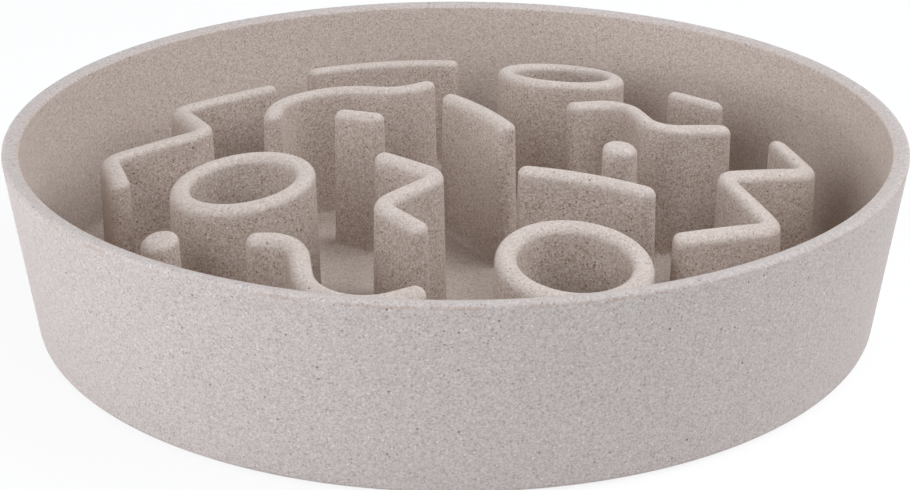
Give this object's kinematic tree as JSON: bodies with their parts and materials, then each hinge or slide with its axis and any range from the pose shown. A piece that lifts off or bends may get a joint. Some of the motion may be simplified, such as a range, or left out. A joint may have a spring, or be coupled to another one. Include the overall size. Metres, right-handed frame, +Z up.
{
  "type": "slow feeder bowl",
  "caption": "Round shallow pet bowl with a tapered wall; its floor carries a maze of upright walls, rings and pegs with domed tops that slow down eating. Stands on rubber feet.",
  "frame": {"origin": "middle of the bowl on the surface that it stands on", "axes": "+Z up along the bowl's axis, -Y towards the viewer of the picture, +X to the viewer's right"},
  "size_m": [0.25, 0.25, 0.0524],
  "materials": {
    "speckled_composite": "satin matte moulded plant-fibre composite with fine dark specks",
    "foot_rubber": "matte soft rubber"
  },
  "bodies": {
    "root": {"bowl_shell": "speckled_composite", "ring_left": "speckled_composite", "ring_back": "speckled_composite", "ring_front": "speckled_composite", "peg_right": "speckled_composite", "peg_front_left": "speckled_composite", "bar_center_left": "speckled_composite", "bar_back_right": "speckled_composite", "arc_back": "speckled_composite", "arc_center": "speckled_composite", "arc_right": "speckled_composite", "zigzag_left": "speckled_composite", "zigzag_center": "speckled_composite", "zigzag_right": "speckled_composite", "wave_right": "speckled_composite", "wave_back_left": "speckled_composite", "wave_front": "speckled_composite", "foot_back_right": "foot_rubber", "foot_back_left": "foot_rubber", "foot_front_left": "foot_rubber", "foot_front_right": "foot_rubber"}
  },
  "joints": []
}
